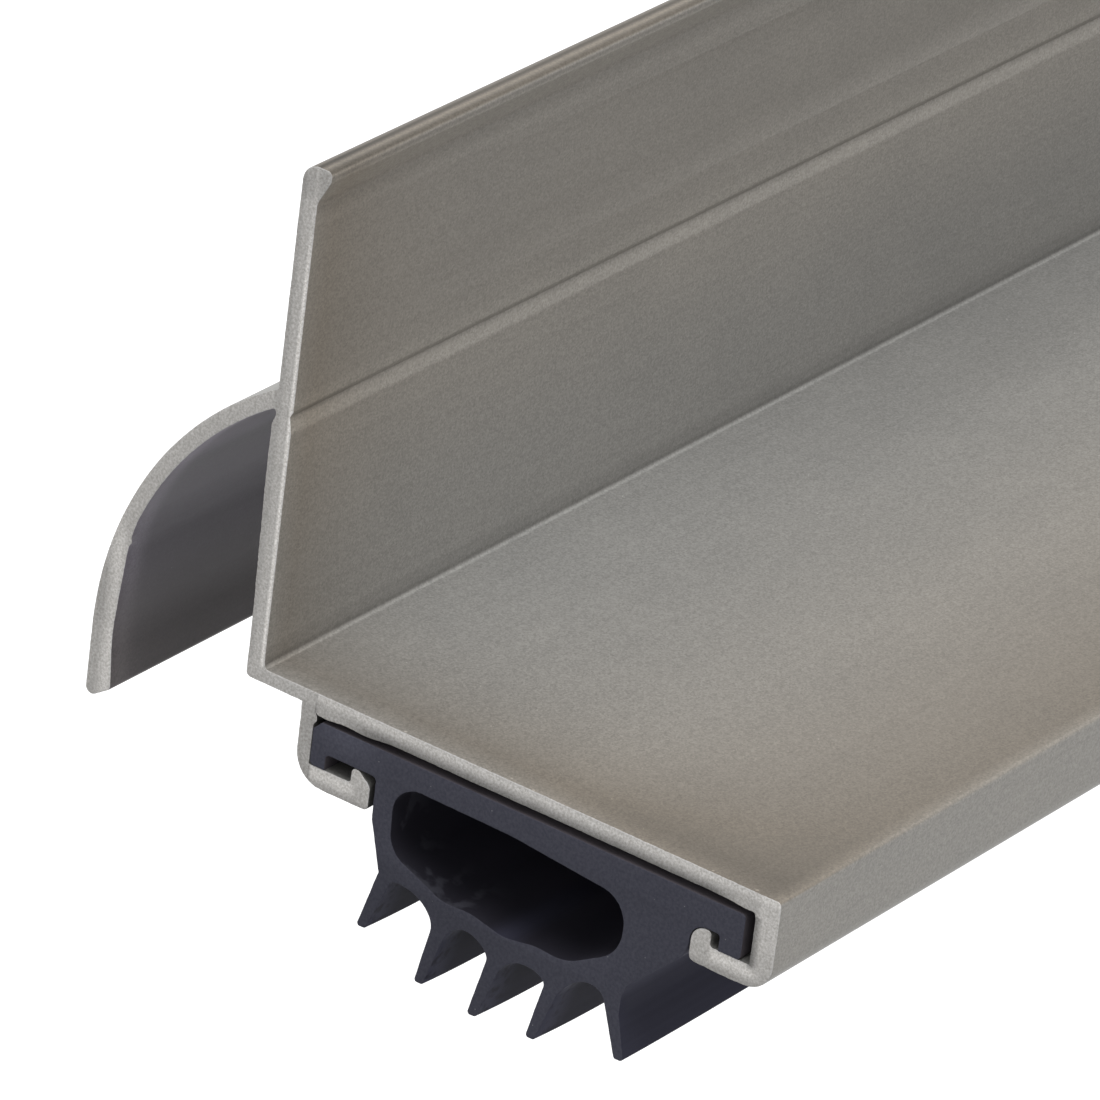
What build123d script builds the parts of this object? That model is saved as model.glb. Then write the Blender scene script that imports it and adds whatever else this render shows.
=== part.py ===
from build123d import *
import math
import os

# Door bottom seal: an aluminium carrier that wraps the lower outside corner of a door,
# with a drip cap outside and a channel below that holds a finned vinyl insert.
#
# Frame: the length runs along X, the door's thickness along Y, +Z is up.
# The origin is the middle of the seat for the door's bottom edge: half way along,
# half way through the door, on the flange's top face. +Y is the outdoor side.

# Length, and the door that the carrier wraps
length = 914.4
door_thickness = 44.45

# Leg, the tall plate on the door's outdoor face
leg_wall = 1.45
leg_height = 38.75
leg_crown_radius = 1.35

# Bead that stiffens the leg's top and leans on the door
bead_reach = 0.95
bead_height = 2.70
bead_nose_height = 0.85
bead_nose_radius = 0.38
bead_blend_radius = 1.50

# Sight groove along the leg's door face, opposite the root of the drip cap
groove_level = 19.59
groove_depth = 0.22
groove_rise = 0.45
groove_fall = 1.25

# Heel, the thin strip of flange between the leg and the channel
heel_wall = 1.10
heel_width = 5.00
heel_corner_radius = 0.40
door_corner_radius = 0.30

# Flange under the door's bottom edge, and the channel's two walls
flange_wall = 1.40
flange_corner_radius = 0.35
leg_side_wall = 1.15
edge_wall = 1.90
leg_side_corner_radius = 2.40
edge_corner_radius = 2.02

# Lips that close the channel from below, each with a hook along its free edge
channel_depth = 4.20
lip_wall = 1.60
leg_side_lip = 5.35
edge_lip = 4.90
hook_rise = 1.20
hook_root_radius = 0.25

# The leg side's hook slopes up to its tip
leg_side_hook_width = 1.70
hook_slope = 0.90
hook_flat = 0.60
leg_side_lip_radius = 0.40
hook_shoulder_radius = 0.60
hook_tip_radius = 0.50
hook_back_radius = 0.40

# The edge's hook is rounded from the lip's end to its top
edge_hook_width = 1.60
edge_lip_radius = 0.50
edge_hook_radius = 1.20
edge_hook_back_radius = 0.38

# Drip cap: a round wall from the leg that turns straight down into a thicker lip
drip_reach = 13.57
drip_radius = 27.90
drip_drop = 2.60
drip_wall = 1.25
drip_root_radius = 0.20
drip_lip_wall = 1.80
drip_lip_height = 8.00
drip_foot_wall = 2.15
drip_length = 5.78
drip_foot_slant = 1.45
drip_foot_radius = 0.55
drip_foot_inner_radius = 0.40
drip_lip_radius = 18.00
drip_blend_radius = 14.00

# Slots for the fixing screws, upright so that the seal can be set to the threshold
slot_count = 4
slot_spacing = 228.6
slot_width = 4.8
slot_length = 9.5
slot_level = 28.5

# Insert: a strip held by the channel, on two feet that stand on the lips
strip_gap_above = 0.65
strip_gap_leg_side = 0.05
strip_gap_edge = 0.75
strip_gap_hook = 0.06
strip_bevel = 0.70
leg_side_foot = 1.30
edge_foot = 1.85
foot_radius = 0.35

# Insert: the neck that comes out between the lips and narrows to the fins
neck_gap_leg_side = 0.43
neck_gap_edge = 0.10
neck_leg_side_depth = 3.16
neck_edge_depth = 2.56
neck_edge_taper = 4.75
neck_waist_leg_side = 1.20
neck_waist_edge = 4.80
neck_root_radius = 0.35
neck_hook_radius = 1.28
neck_bend_radius = 2.50

# Insert: the hollow that lets it squash
hollow_wall = 1.56
hollow_roof = 1.95
hollow_width = 20.10
hollow_roof_sag = 0.10
hollow_roof_fall = 1.00
hollow_leg_side_depth = 5.75
hollow_leg_side_slope = 0.35
hollow_edge_depth = 5.05
hollow_floor_depth = 7.40
hollow_floor_sag = 0.45
hollow_floor_inset = 4.60
hollow_roof_radius = 2.20
hollow_crown_radius = 20.00
hollow_end_radius = 2.90
hollow_floor_radius = 9.00
hollow_belly_radius = 24.00

# Insert: fins that sweep the threshold, in order from the leg side, with depths under the strip
fin_pitch = 4.92
fin_thickness = 0.95
fin_tip_width = 0.55
fin_tip_radius = 0.25
fin_shoulder = 0.60
fin_leans = [-1.35, -0.85, -1.05, -1.00, 1.42]
fin_root_depths = [7.06, 9.76, 10.06, 9.96, 8.86]
fin_tip_depths = [11.81, 14.01, 14.66, 14.36, 12.91]
arch_crown_depths = [7.26, 8.51, 9.01, 8.16]
arch_crown_shares = [0.25, 0.45, 0.60, 0.78]

# Faces that the section is built on
leg_face = door_thickness / 2
leg_outer = leg_face + leg_wall
bead_face = leg_face - bead_reach
edge_outer = -door_thickness / 2
edge_inner = edge_outer + edge_wall
leg_side_outer = leg_outer - heel_width
leg_side_inner = leg_side_outer - leg_side_wall
flange_under = -flange_wall
lip_top = flange_under - channel_depth
lip_bottom = lip_top - lip_wall
leg_side_lip_end = leg_side_inner - leg_side_lip
edge_lip_end = edge_inner + edge_lip
hook_top = lip_top + hook_rise
leg_side_hook_back = leg_side_lip_end + leg_side_hook_width
edge_hook_back = edge_lip_end - edge_hook_width


def closed_outline(corners):
    """Closed line through (y, z, radius) corners, each rounded by its own radius."""
    points = [(y, z) for y, z, radius in corners]
    radii = [radius for y, z, radius in corners]
    FilletPolyline(*points, radius=radii, close=True)


# Section of the leg, the flange and the channel, walked once round
leg_corners = [
    (leg_outer, -heel_wall, heel_corner_radius),
    (leg_outer, leg_height, leg_crown_radius),
    (bead_face, leg_height, bead_nose_radius),
    (bead_face, leg_height - bead_nose_height, bead_nose_radius),
    (leg_face, leg_height - bead_height, bead_blend_radius),
    (leg_face, groove_level + groove_rise, 0),
    (leg_face + groove_depth, groove_level, 0),
    (leg_face, groove_level - groove_fall, 0),
    (leg_face, 0, door_corner_radius),
]
edge_corners = [
    (edge_outer, 0, flange_corner_radius),
    (edge_outer, lip_bottom, edge_corner_radius),
    (edge_lip_end, lip_bottom, edge_lip_radius),
    (edge_lip_end, hook_top, edge_hook_radius),
    (edge_hook_back, hook_top, edge_hook_back_radius),
    (edge_hook_back, lip_top, hook_root_radius),
    (edge_inner, lip_top, 0),
    (edge_inner, flange_under, door_corner_radius),
]
leg_side_corners = [
    (leg_side_inner, flange_under, 0),
    (leg_side_inner, lip_top, 0),
    (leg_side_hook_back, lip_top, hook_root_radius),
    (leg_side_hook_back, hook_top, hook_back_radius),
    (leg_side_hook_back - hook_flat, hook_top, hook_tip_radius),
    (leg_side_lip_end, hook_top - hook_slope, hook_shoulder_radius),
    (leg_side_lip_end, lip_bottom, leg_side_lip_radius),
    (leg_side_outer, lip_bottom, leg_side_corner_radius),
    (leg_side_outer, -heel_wall, 0),
]

# The drip cap's outer face is an arc that turns straight down at its outermost line
drip_outer = leg_outer + drip_reach
drip_centre_y = drip_outer - drip_radius
drip_turn = -drip_drop
drip_bottom = drip_turn - drip_length
drip_lip_top = drip_turn + drip_lip_height


def drip_arc_y(radius, level):
    """Y of the drip cap's arc of the given radius at a level above its turn."""
    return drip_centre_y + math.sqrt(radius**2 - (level - drip_turn) ** 2)


def drip_arc_level(radius, y):
    """Level at which the drip cap's arc of the given radius passes y."""
    return drip_turn + math.sqrt(radius**2 - (y - drip_centre_y) ** 2)


drip_inner_radius = drip_radius - drip_wall
# The cap's wall is drawn to the middle of the leg, so that the two fuse
leg_middle = leg_outer - leg_wall / 2
drip_root_outer = (leg_middle, drip_arc_level(drip_radius, leg_middle))
drip_root_inner = (leg_middle, drip_arc_level(drip_inner_radius, leg_middle))
drip_lip_start = (drip_arc_y(drip_inner_radius, drip_lip_top), drip_lip_top)
drip_lip_inner = drip_outer - drip_lip_wall
drip_foot_inner = drip_outer - drip_foot_wall
outer_middle_level = (drip_root_outer[1] + drip_turn) / 2
inner_middle_level = (drip_root_inner[1] + drip_lip_top) / 2

with BuildPart() as carrier:
    with BuildSketch(Plane.YZ) as carrier_section:
        with BuildLine():
            closed_outline(leg_corners + edge_corners + leg_side_corners)
        make_face()
        with BuildLine():
            ThreePointArc(
                drip_root_outer,
                (drip_arc_y(drip_radius, outer_middle_level), outer_middle_level),
                (drip_outer, drip_turn),
            )
            FilletPolyline(
                (drip_outer, drip_turn),
                (drip_outer, drip_bottom),
                (drip_foot_inner, drip_bottom + drip_foot_slant),
                (drip_lip_inner, drip_turn),
                drip_lip_start,
                radius=[drip_foot_radius, drip_foot_inner_radius, drip_lip_radius],
            )
            ThreePointArc(
                drip_lip_start,
                (drip_arc_y(drip_inner_radius, inner_middle_level), inner_middle_level),
                drip_root_inner,
            )
            Line(drip_root_inner, drip_root_outer)
        make_face()
        root_corner = (leg_outer, drip_arc_level(drip_inner_radius, leg_outer))
        fillet(carrier_section.vertices().sort_by_distance(root_corner)[0], drip_root_radius)
        fillet(carrier_section.vertices().sort_by_distance(drip_lip_start)[0], drip_blend_radius)
    extrude(amount=length / 2, both=True)
    # Screw slots through the leg, in line along the length
    with BuildSketch(Plane.XZ.offset(-leg_outer)):
        with Locations((0, slot_level)):
            with GridLocations(slot_spacing, 0, slot_count, 1):
                SlotOverall(slot_length, slot_width, rotation=90)
    extrude(amount=leg_wall, mode=Mode.SUBTRACT)
carrier.part.label = "carrier"

# Faces of the insert, seated on the channel
strip_top = flange_under - strip_gap_above
strip_under = hook_top + strip_gap_hook
strip_leg_side = leg_side_inner - strip_gap_leg_side
strip_edge = edge_inner + strip_gap_edge
leg_side_foot_inner = strip_leg_side - leg_side_foot
edge_foot_inner = strip_edge + edge_foot
neck_leg_side = leg_side_lip_end - neck_gap_leg_side
neck_edge = edge_lip_end + neck_gap_edge
waist_leg_side = neck_leg_side - neck_waist_leg_side
waist_edge = neck_edge + neck_waist_edge
waist_edge_level = strip_under - neck_edge_depth - neck_edge_taper

# Fins stand at an even pitch from the waist's leg side, each from its front to its back
fin_fronts = []
fin_tips = []
fin_tip_backs = []
fin_backs = []
for i, lean in enumerate(fin_leans):
    root = waist_leg_side - i * fin_pitch
    root_level = strip_under - fin_root_depths[i]
    tip = root - lean
    tip_level = strip_under - fin_tip_depths[i]
    fin_fronts.append((root, root_level))
    fin_tips.append((tip, tip_level))
    fin_tip_backs.append((tip - fin_tip_width, tip_level))
    fin_backs.append((root - fin_thickness, root_level - fin_shoulder))
# The last fin's back is the waist's edge
fin_backs[-1] = (waist_edge, fin_backs[-1][1])

# Body of the insert from the first fin, over the strip and its feet, to the last fin
body_corners = [
    (*fin_fronts[0], 0),
    (neck_leg_side, strip_under - neck_leg_side_depth, neck_bend_radius),
    (neck_leg_side, strip_under, neck_root_radius),
    (leg_side_foot_inner, strip_under, neck_root_radius),
    (leg_side_foot_inner, lip_top, 0),
    (strip_leg_side, lip_top, foot_radius),
    (strip_leg_side, strip_top - strip_bevel, 0),
    (strip_leg_side - strip_bevel, strip_top, 0),
    (strip_edge, strip_top, foot_radius),
    (strip_edge, lip_top, foot_radius),
    (edge_foot_inner, lip_top, 0),
    (edge_foot_inner, strip_under, neck_root_radius),
    (neck_edge, strip_under, neck_hook_radius),
    (neck_edge, strip_under - neck_edge_depth, neck_bend_radius),
    (waist_edge, waist_edge_level, neck_bend_radius),
    (*fin_backs[-1], 0),
]

# Hollow, walked round from the leg side of its roof
hollow_top = strip_top - hollow_roof
hollow_leg_side = neck_leg_side - hollow_wall
hollow_edge = hollow_leg_side - hollow_width
hollow_middle = (hollow_leg_side + hollow_edge) / 2
hollow_floor = hollow_top - hollow_floor_depth
hollow_leg_side_floor = hollow_top - hollow_leg_side_depth
hollow_corners = [
    (hollow_leg_side, hollow_top, hollow_roof_radius),
    (hollow_middle, hollow_top - hollow_roof_sag, hollow_crown_radius),
    (hollow_edge, hollow_top - hollow_roof_fall, hollow_roof_radius),
    (hollow_edge, hollow_top - hollow_edge_depth, hollow_end_radius),
    (hollow_edge + hollow_floor_inset, hollow_floor, hollow_floor_radius),
    (hollow_middle, hollow_floor - hollow_floor_sag, hollow_belly_radius),
    (hollow_leg_side - hollow_floor_inset, hollow_floor, hollow_floor_radius),
    (hollow_leg_side - hollow_leg_side_slope, hollow_leg_side_floor, hollow_end_radius),
]

with BuildPart() as insert:
    with BuildSketch(Plane.YZ):
        with BuildLine():
            FilletPolyline(
                *[(y, z) for y, z, radius in body_corners],
                radius=[radius for y, z, radius in body_corners[1:-1]],
            )
            for front, tip, tip_back, back in zip(fin_fronts, fin_tips, fin_tip_backs, fin_backs):
                FilletPolyline(front, tip, tip_back, back, radius=fin_tip_radius)
            for i, (depth, share) in enumerate(zip(arch_crown_depths, arch_crown_shares)):
                start = fin_backs[i]
                end = fin_fronts[i + 1]
                crown = (start[0] + share * (end[0] - start[0]), strip_under - depth)
                rise = Vector(*start) - Vector(*fin_tip_backs[i])
                fall = Vector(*fin_tips[i + 1]) - Vector(*end)
                Spline(start, crown, end, tangents=[rise, fall])
        make_face()
        with BuildLine():
            closed_outline(hollow_corners)
        make_face(mode=Mode.SUBTRACT)
    extrude(amount=length / 2, both=True)
insert.part.label = "insert"

os.makedirs("parts", exist_ok=True)
export_step(carrier.part, "parts/carrier.step")
export_step(insert.part, "parts/insert.step")
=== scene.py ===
# %% [markdown]
# # A door bottom seal, dressed on its frame
# The real thing is two extrusions. A metal carrier wraps the lower outside corner of a door:
# its tall leg lies on the outdoor face, its flange goes under the door, and a drip cap curves
# away outside. A channel below the flange holds a vinyl insert with five fins.
# Both pieces come out of a die and are then sawn to length, so each is one section carried
# along one straight line. That is how they are made here too: a section as an array of
# points, swept along X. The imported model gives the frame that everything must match.

import bpy
import numpy as np
from mathutils import Matrix, Vector
from mathutils.geometry import tessellate_polygon


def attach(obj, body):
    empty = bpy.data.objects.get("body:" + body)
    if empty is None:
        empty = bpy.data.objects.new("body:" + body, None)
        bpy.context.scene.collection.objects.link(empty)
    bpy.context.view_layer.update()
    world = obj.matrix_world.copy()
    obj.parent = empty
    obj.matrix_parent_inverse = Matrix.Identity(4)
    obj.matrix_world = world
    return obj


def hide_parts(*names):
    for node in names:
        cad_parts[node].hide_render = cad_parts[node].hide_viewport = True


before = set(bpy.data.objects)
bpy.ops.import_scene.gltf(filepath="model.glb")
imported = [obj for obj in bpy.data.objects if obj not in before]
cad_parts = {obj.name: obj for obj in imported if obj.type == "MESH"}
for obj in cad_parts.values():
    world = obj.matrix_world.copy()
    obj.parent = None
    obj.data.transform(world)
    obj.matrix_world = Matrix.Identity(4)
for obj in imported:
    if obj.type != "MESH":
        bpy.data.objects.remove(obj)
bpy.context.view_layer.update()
MM = 0.001

# %% [markdown]
# ## Corners with a radius
# An extrusion die has no perfectly sharp corner. Each section below is written as a walk
# round its corners, (y, z, radius) in millimetres, and one helper rounds them all. A bevel
# modifier could do it after the sweep, but a die's radii differ from corner to corner, and
# a list of them is easier to read beside the drawing.


# %% Round a walk of corners
def rounded(corners, steps=8):
    """Closed outline through (y, z, radius) corners, as an array of points.

    Each corner becomes an arc that touches both of its edges. The arc's centre lies on
    the corner's bisector, radius / sin(half angle) away from the corner, and the arc
    turns in equal steps from one touching point to the other.
    """
    walk = np.array(corners, float)
    p, r = walk[:, :2], walk[:, 2]
    back, ahead = np.roll(p, 1, 0) - p, np.roll(p, -1, 0) - p
    back /= np.linalg.norm(back, axis=1)[:, None]
    ahead /= np.linalg.norm(ahead, axis=1)[:, None]
    half = np.arccos(np.clip((back * ahead).sum(1), -1, 1)) / 2
    bisector = back + ahead
    bisector /= np.maximum(np.linalg.norm(bisector, axis=1), 1e-9)[:, None]
    centre = p + bisector * (r / np.sin(half))[:, None]
    reach = (r / np.tan(half))[:, None]
    first, last = p + back * reach - centre, p + ahead * reach - centre
    start = np.arctan2(first[:, 1], first[:, 0])
    turn = np.arctan2(first[:, 0] * last[:, 1] - first[:, 1] * last[:, 0], (first * last).sum(1))
    angle = start[:, None] + turn[:, None] * np.linspace(0, 1, steps + 1)
    arc = centre[:, None] + r[:, None, None] * np.stack([np.cos(angle), np.sin(angle)], 2)
    points = arc.reshape(-1, 2)
    apart = np.linalg.norm(points - np.roll(points, 1, 0), axis=1) > 1e-4
    return points[apart]


# %% [markdown]
# ## The carrier's section
# The walk starts at the heel, outside the door, goes round the drip cap, up the leg and
# over its bead, down the door face past the sight groove, along the flange, and round the
# channel with its two hooked lips. The drip cap's two faces are long arcs about one
# centre, so they are sampled by angle and join the walk as points with no radius.

# %% Carrier section, in millimetres
HALF = 457.2
DOOR = 22.225
LEG = DOOR + 1.45
TOP = 38.75
EDGE = -DOOR
HEEL, UNDER, LIP, LOWEST = -1.10, -1.40, -5.60, -7.20
WALL_OUT = LEG - 5.00
WALL_IN = WALL_OUT - 1.15
DRIP = LEG + 13.57
DRIP_OUTER = 27.90
DRIP_INNER = DRIP_OUTER - 1.25
DRIP_CENTRE = np.array([DRIP - DRIP_OUTER, -2.60])
DRIP_STEP = 8.00
BEAD = DOOR - 0.95
GROOVE = 19.59
LIP_LEG, LIP_EDGE, HOOK = WALL_IN - 5.35, EDGE + 6.80, LIP + 1.20


def drip_arc(radius, start, end, steps):
    """Points at one radius round the drip cap's centre, between two angles in radians."""
    a = np.linspace(start, end, steps)
    return DRIP_CENTRE + radius * np.stack([np.cos(a), np.sin(a)], 1)


def plain(points):
    """Sampled points as corners with no radius."""
    return [(y, z, 0.0) for y, z in points]


cap_root = np.arccos((LEG - DRIP_CENTRE[0]) / DRIP_INNER)
cap_end = np.arcsin(DRIP_STEP / DRIP_INNER)
cap_inside = drip_arc(DRIP_INNER, cap_root - 0.5 / DRIP_INNER, cap_end + 1.7 / DRIP_INNER, 60)
cap_outside = drip_arc(DRIP_OUTER, 0.0, np.arccos((LEG - DRIP_CENTRE[0]) / DRIP_OUTER), 72)

carrier_walk = [
    (LEG, HEEL, 0.40),
    (LEG, DRIP_CENTRE[1] + DRIP_INNER * np.sin(cap_root), 0.20),
    *plain(cap_inside),
    (*drip_arc(DRIP_INNER, cap_end, cap_end, 1)[0], 14.0),
    (DRIP - 1.80, DRIP_CENTRE[1], 18.0),
    (DRIP - 2.15, -6.93, 0.40),
    (DRIP, -8.38, 0.55),
    *plain(cap_outside),
    (LEG, TOP, 1.35),
    (BEAD, TOP, 0.38),
    (BEAD, TOP - 0.85, 0.38),
    (DOOR, TOP - 2.70, 1.50),
    (DOOR, GROOVE + 0.45, 0.0),
    (DOOR + 0.22, GROOVE, 0.0),
    (DOOR, GROOVE - 1.25, 0.0),
    (DOOR, 0.0, 0.30),
    (EDGE, 0.0, 0.35),
    (EDGE, LOWEST, 2.02),
    (LIP_EDGE, LOWEST, 0.50),
    (LIP_EDGE, HOOK, 1.20),
    (LIP_EDGE - 1.60, HOOK, 0.38),
    (LIP_EDGE - 1.60, LIP, 0.25),
    (EDGE + 1.90, LIP, 0.0),
    (EDGE + 1.90, UNDER, 0.30),
    (WALL_IN, UNDER, 0.0),
    (WALL_IN, LIP, 0.0),
    (LIP_LEG + 1.70, LIP, 0.25),
    (LIP_LEG + 1.70, HOOK, 0.40),
    (LIP_LEG + 1.10, HOOK, 0.50),
    (LIP_LEG, HOOK - 0.90, 0.60),
    (LIP_LEG, LOWEST, 0.40),
    (WALL_OUT, LOWEST, 2.40),
    (WALL_OUT, HEEL, 0.0),
]
carrier_outline = rounded(carrier_walk)
across = carrier_outline[:, 0].min().round(3), carrier_outline[:, 0].max().round(3)
print("carrier outline:", len(carrier_outline), "points, y from", across[0], "to", across[1])

# %% [markdown]
# ## The insert's section
# The vinyl strip stands in the channel on two feet, its neck comes out between the lips,
# and it ends in five fins round a hollow that lets it squash. Between two fins the
# underside is a soft arch. A cubic through three points gives that arch, with the fins'
# own slopes at its ends, and so it meets the fins without a kink.

# %% Insert section, in millimetres
STRIP_TOP = UNDER - 0.65
STRIP_UNDER = HOOK + 0.06
STRIP_LEG = WALL_IN - 0.05
STRIP_EDGE = EDGE + 1.90 + 0.75
NECK_LEG = LIP_LEG - 0.43
NECK_EDGE = LIP_EDGE + 0.10
WAIST = NECK_LEG - 1.20
WAIST_EDGE = NECK_EDGE + 4.80

fin = np.arange(5)
root_y = WAIST - 4.92 * fin + np.array([0.09, 0.15, 0.15, 0.12, 0.00])
root_z = STRIP_UNDER - np.array([7.06, 9.76, 10.06, 9.96, 8.86])
tip_y = root_y + np.array([1.35, 0.85, 1.05, 1.00, -1.42])
tip_z = STRIP_UNDER - np.array([11.86, 14.11, 14.66, 14.36, 12.90])
fronts, tips = np.stack([root_y, root_z], 1), np.stack([tip_y, tip_z], 1)
tip_backs = tips - [0.80, -0.04]
backs = fronts - [1.05, 0.60]
backs[-1, 0] = WAIST_EDGE
share = np.array([0.25, 0.45, 0.60, 0.78])
crowns = backs[:-1] + share[:, None] * (fronts[1:] - backs[:-1])
crowns[:, 1] = STRIP_UNDER - np.array([7.26, 8.51, 9.01, 8.16])


def arch(start, crown, end, rise, fall, steps=14):
    """Cubic from start over crown to end, leaving along rise and arriving along fall.

    Each half is a Hermite cubic over its chord's length. The slope at the crown is the
    one that makes the second derivative run through it without a step.
    """
    a, b = np.linalg.norm(crown - start), np.linalg.norm(end - crown)
    m0, m2 = rise / np.linalg.norm(rise), fall / np.linalg.norm(fall)
    m1 = (3 * ((crown - start) * b / a + (end - crown) * a / b) - m0 * b - m2 * a) / (2 * (a + b))

    def half(p, q, m, n, span):
        """Hermite cubic from p to q with slopes m and n, t from 0 to 1 over the span."""
        t = np.linspace(0, 1, steps)[:, None]
        return (
            p * (2 * t**3 - 3 * t**2 + 1)
            + q * (3 * t**2 - 2 * t**3)
            + span * (m * (t**3 - 2 * t**2 + t) + n * (t**3 - t**2))
        )

    return np.concatenate([half(start, crown, m0, m1, a), half(crown, end, m1, m2, b)[1:]])


body_walk = [
    (NECK_LEG, STRIP_UNDER - 3.16, 2.50),
    (NECK_LEG, STRIP_UNDER, 0.35),
    (STRIP_LEG - 1.30, STRIP_UNDER, 0.35),
    (STRIP_LEG - 1.30, LIP, 0.0),
    (STRIP_LEG, LIP, 0.35),
    (STRIP_LEG, STRIP_TOP - 0.70, 0.0),
    (STRIP_LEG - 0.70, STRIP_TOP, 0.0),
    (STRIP_EDGE, STRIP_TOP, 0.35),
    (STRIP_EDGE, LIP, 0.35),
    (STRIP_EDGE + 1.85, LIP, 0.0),
    (STRIP_EDGE + 1.85, STRIP_UNDER, 0.35),
    (NECK_EDGE, STRIP_UNDER, 1.28),
    (NECK_EDGE, STRIP_UNDER - 2.56, 2.50),
    (WAIST_EDGE, STRIP_UNDER - 7.31, 2.50),
]
fin_walk = []
for i in reversed(fin):
    fin_walk += [
        (*backs[i], 0.0),
        (*tip_backs[i], 0.25),
        (*tips[i], 0.25),
        (*fronts[i], 0.0),
    ]
    if i:
        away, home = backs[i - 1] - tip_backs[i - 1], tips[i] - fronts[i]
        between = arch(backs[i - 1], crowns[i - 1], fronts[i], away, home)
        fin_walk += plain(between[1:-1][::-1])
insert_outline = rounded(body_walk + fin_walk)

HOLLOW_TOP = STRIP_TOP - 1.95
HOLLOW_LEG = NECK_LEG - 1.56
HOLLOW_EDGE = HOLLOW_LEG - 20.10
HOLLOW_MID = (HOLLOW_LEG + HOLLOW_EDGE) / 2
hollow_outline = rounded([
    (HOLLOW_LEG, HOLLOW_TOP, 2.20),
    (HOLLOW_MID, HOLLOW_TOP - 0.10, 20.00),
    (HOLLOW_EDGE, HOLLOW_TOP - 1.00, 2.20),
    (HOLLOW_EDGE, HOLLOW_TOP - 5.20, 2.90),
    (HOLLOW_EDGE + 4.30, HOLLOW_TOP - 7.70, 4.00),
    (HOLLOW_MID - 3.10, HOLLOW_TOP - 7.52, 5.00),
    (HOLLOW_MID - 0.45, HOLLOW_TOP - 7.98, 3.00),
    (HOLLOW_MID + 2.45, HOLLOW_TOP - 7.30, 5.00),
    (HOLLOW_MID + 4.95, HOLLOW_TOP - 7.42, 3.00),
    (HOLLOW_LEG - 0.25, HOLLOW_TOP - 5.35, 2.20),
])
print("insert outline:", len(insert_outline), "points, hollow:", len(hollow_outline))

# %% [markdown]
# ## Sweep a section and finish its sawn ends
# A sweep along a straight line is a grid: one row of points for each station along X. The
# rows close on themselves. At each end a saw leaves a face that is not quite sharp: the
# last rows step inwards from the outline while they reach for the end, which rounds the
# edge, and a small seeded unevenness gives the ragged line that the blade leaves. What
# is then left open is filled with flat triangles. A number on each point, called cut,
# rises from 0 on the drawn faces to 1 on the sawn face, and the finishes read it.


# %% Sweep and end helpers
def outward(points, reach=0.3):
    """Mean outward normal of a closed outline round each point.

    Every edge gives its own unit normal times its length. The running sum of these at
    reach after a point, less the sum at reach before it, over twice the reach, is the
    mean normal there. It turns softly, so that a displaced corner can't fold over.
    """
    ahead = np.roll(points, -1, 0) - points
    nxt = points + ahead
    area = (points[:, 0] * nxt[:, 1] - points[:, 1] * nxt[:, 0]).sum() / 2
    along = np.concatenate([[0.0], np.cumsum(np.linalg.norm(ahead, axis=1))])
    sideways = np.sign(area) * np.stack([ahead[:, 1], -ahead[:, 0]], 1)
    total = np.concatenate([[[0.0, 0.0]], np.cumsum(sideways, 0)])

    def at(s):
        """The running sum at a distance s along the outline."""
        return np.stack([np.interp(s % along[-1], along, total[:, k]) for k in (0, 1)], 1)

    return (at(along[:-1] + reach) - at(along[:-1] - reach)) / (2 * reach)


def wobble(count, length, seed, scale):
    """Smooth closed noise: a sum of sines round the loop with seeded phases, about -1 to 1.

    scale is the shortest wave in millimetres, and the waves get weaker as they shorten.
    """
    rng = np.random.default_rng(seed)
    t = np.linspace(0, 2 * np.pi, count, endpoint=False)
    waves = np.arange(3, max(6, int(length / scale)))
    phase = rng.uniform(0, 2 * np.pi, len(waves))
    weight = rng.uniform(0.3, 1.0, len(waves)) / np.sqrt(waves)
    total = (weight[:, None] * np.sin(waves[:, None] * t + phase[:, None])).sum(0)
    return total / np.abs(total).max()


def finer(points, gap):
    """The closed outline with points added on its long edges, at most gap apart."""
    nxt = np.roll(points, -1, 0)
    count = np.maximum(1, np.ceil(np.linalg.norm(nxt - points, axis=1) / gap).astype(int))
    edge = np.repeat(np.arange(len(points)), count)
    step = np.arange(len(edge)) - np.repeat(np.cumsum(count) - count, count)
    t = (step / count[edge])[:, None]
    return points[edge] * (1 - t) + nxt[edge] * t


def shoelace(p):
    """Area inside a closed outline: half the sum of y times next z less z times next y."""
    q = np.roll(p, -1, 0)
    return abs((p[:, 0] * q[:, 1] - p[:, 1] * q[:, 0]).sum()) / 2


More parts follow.
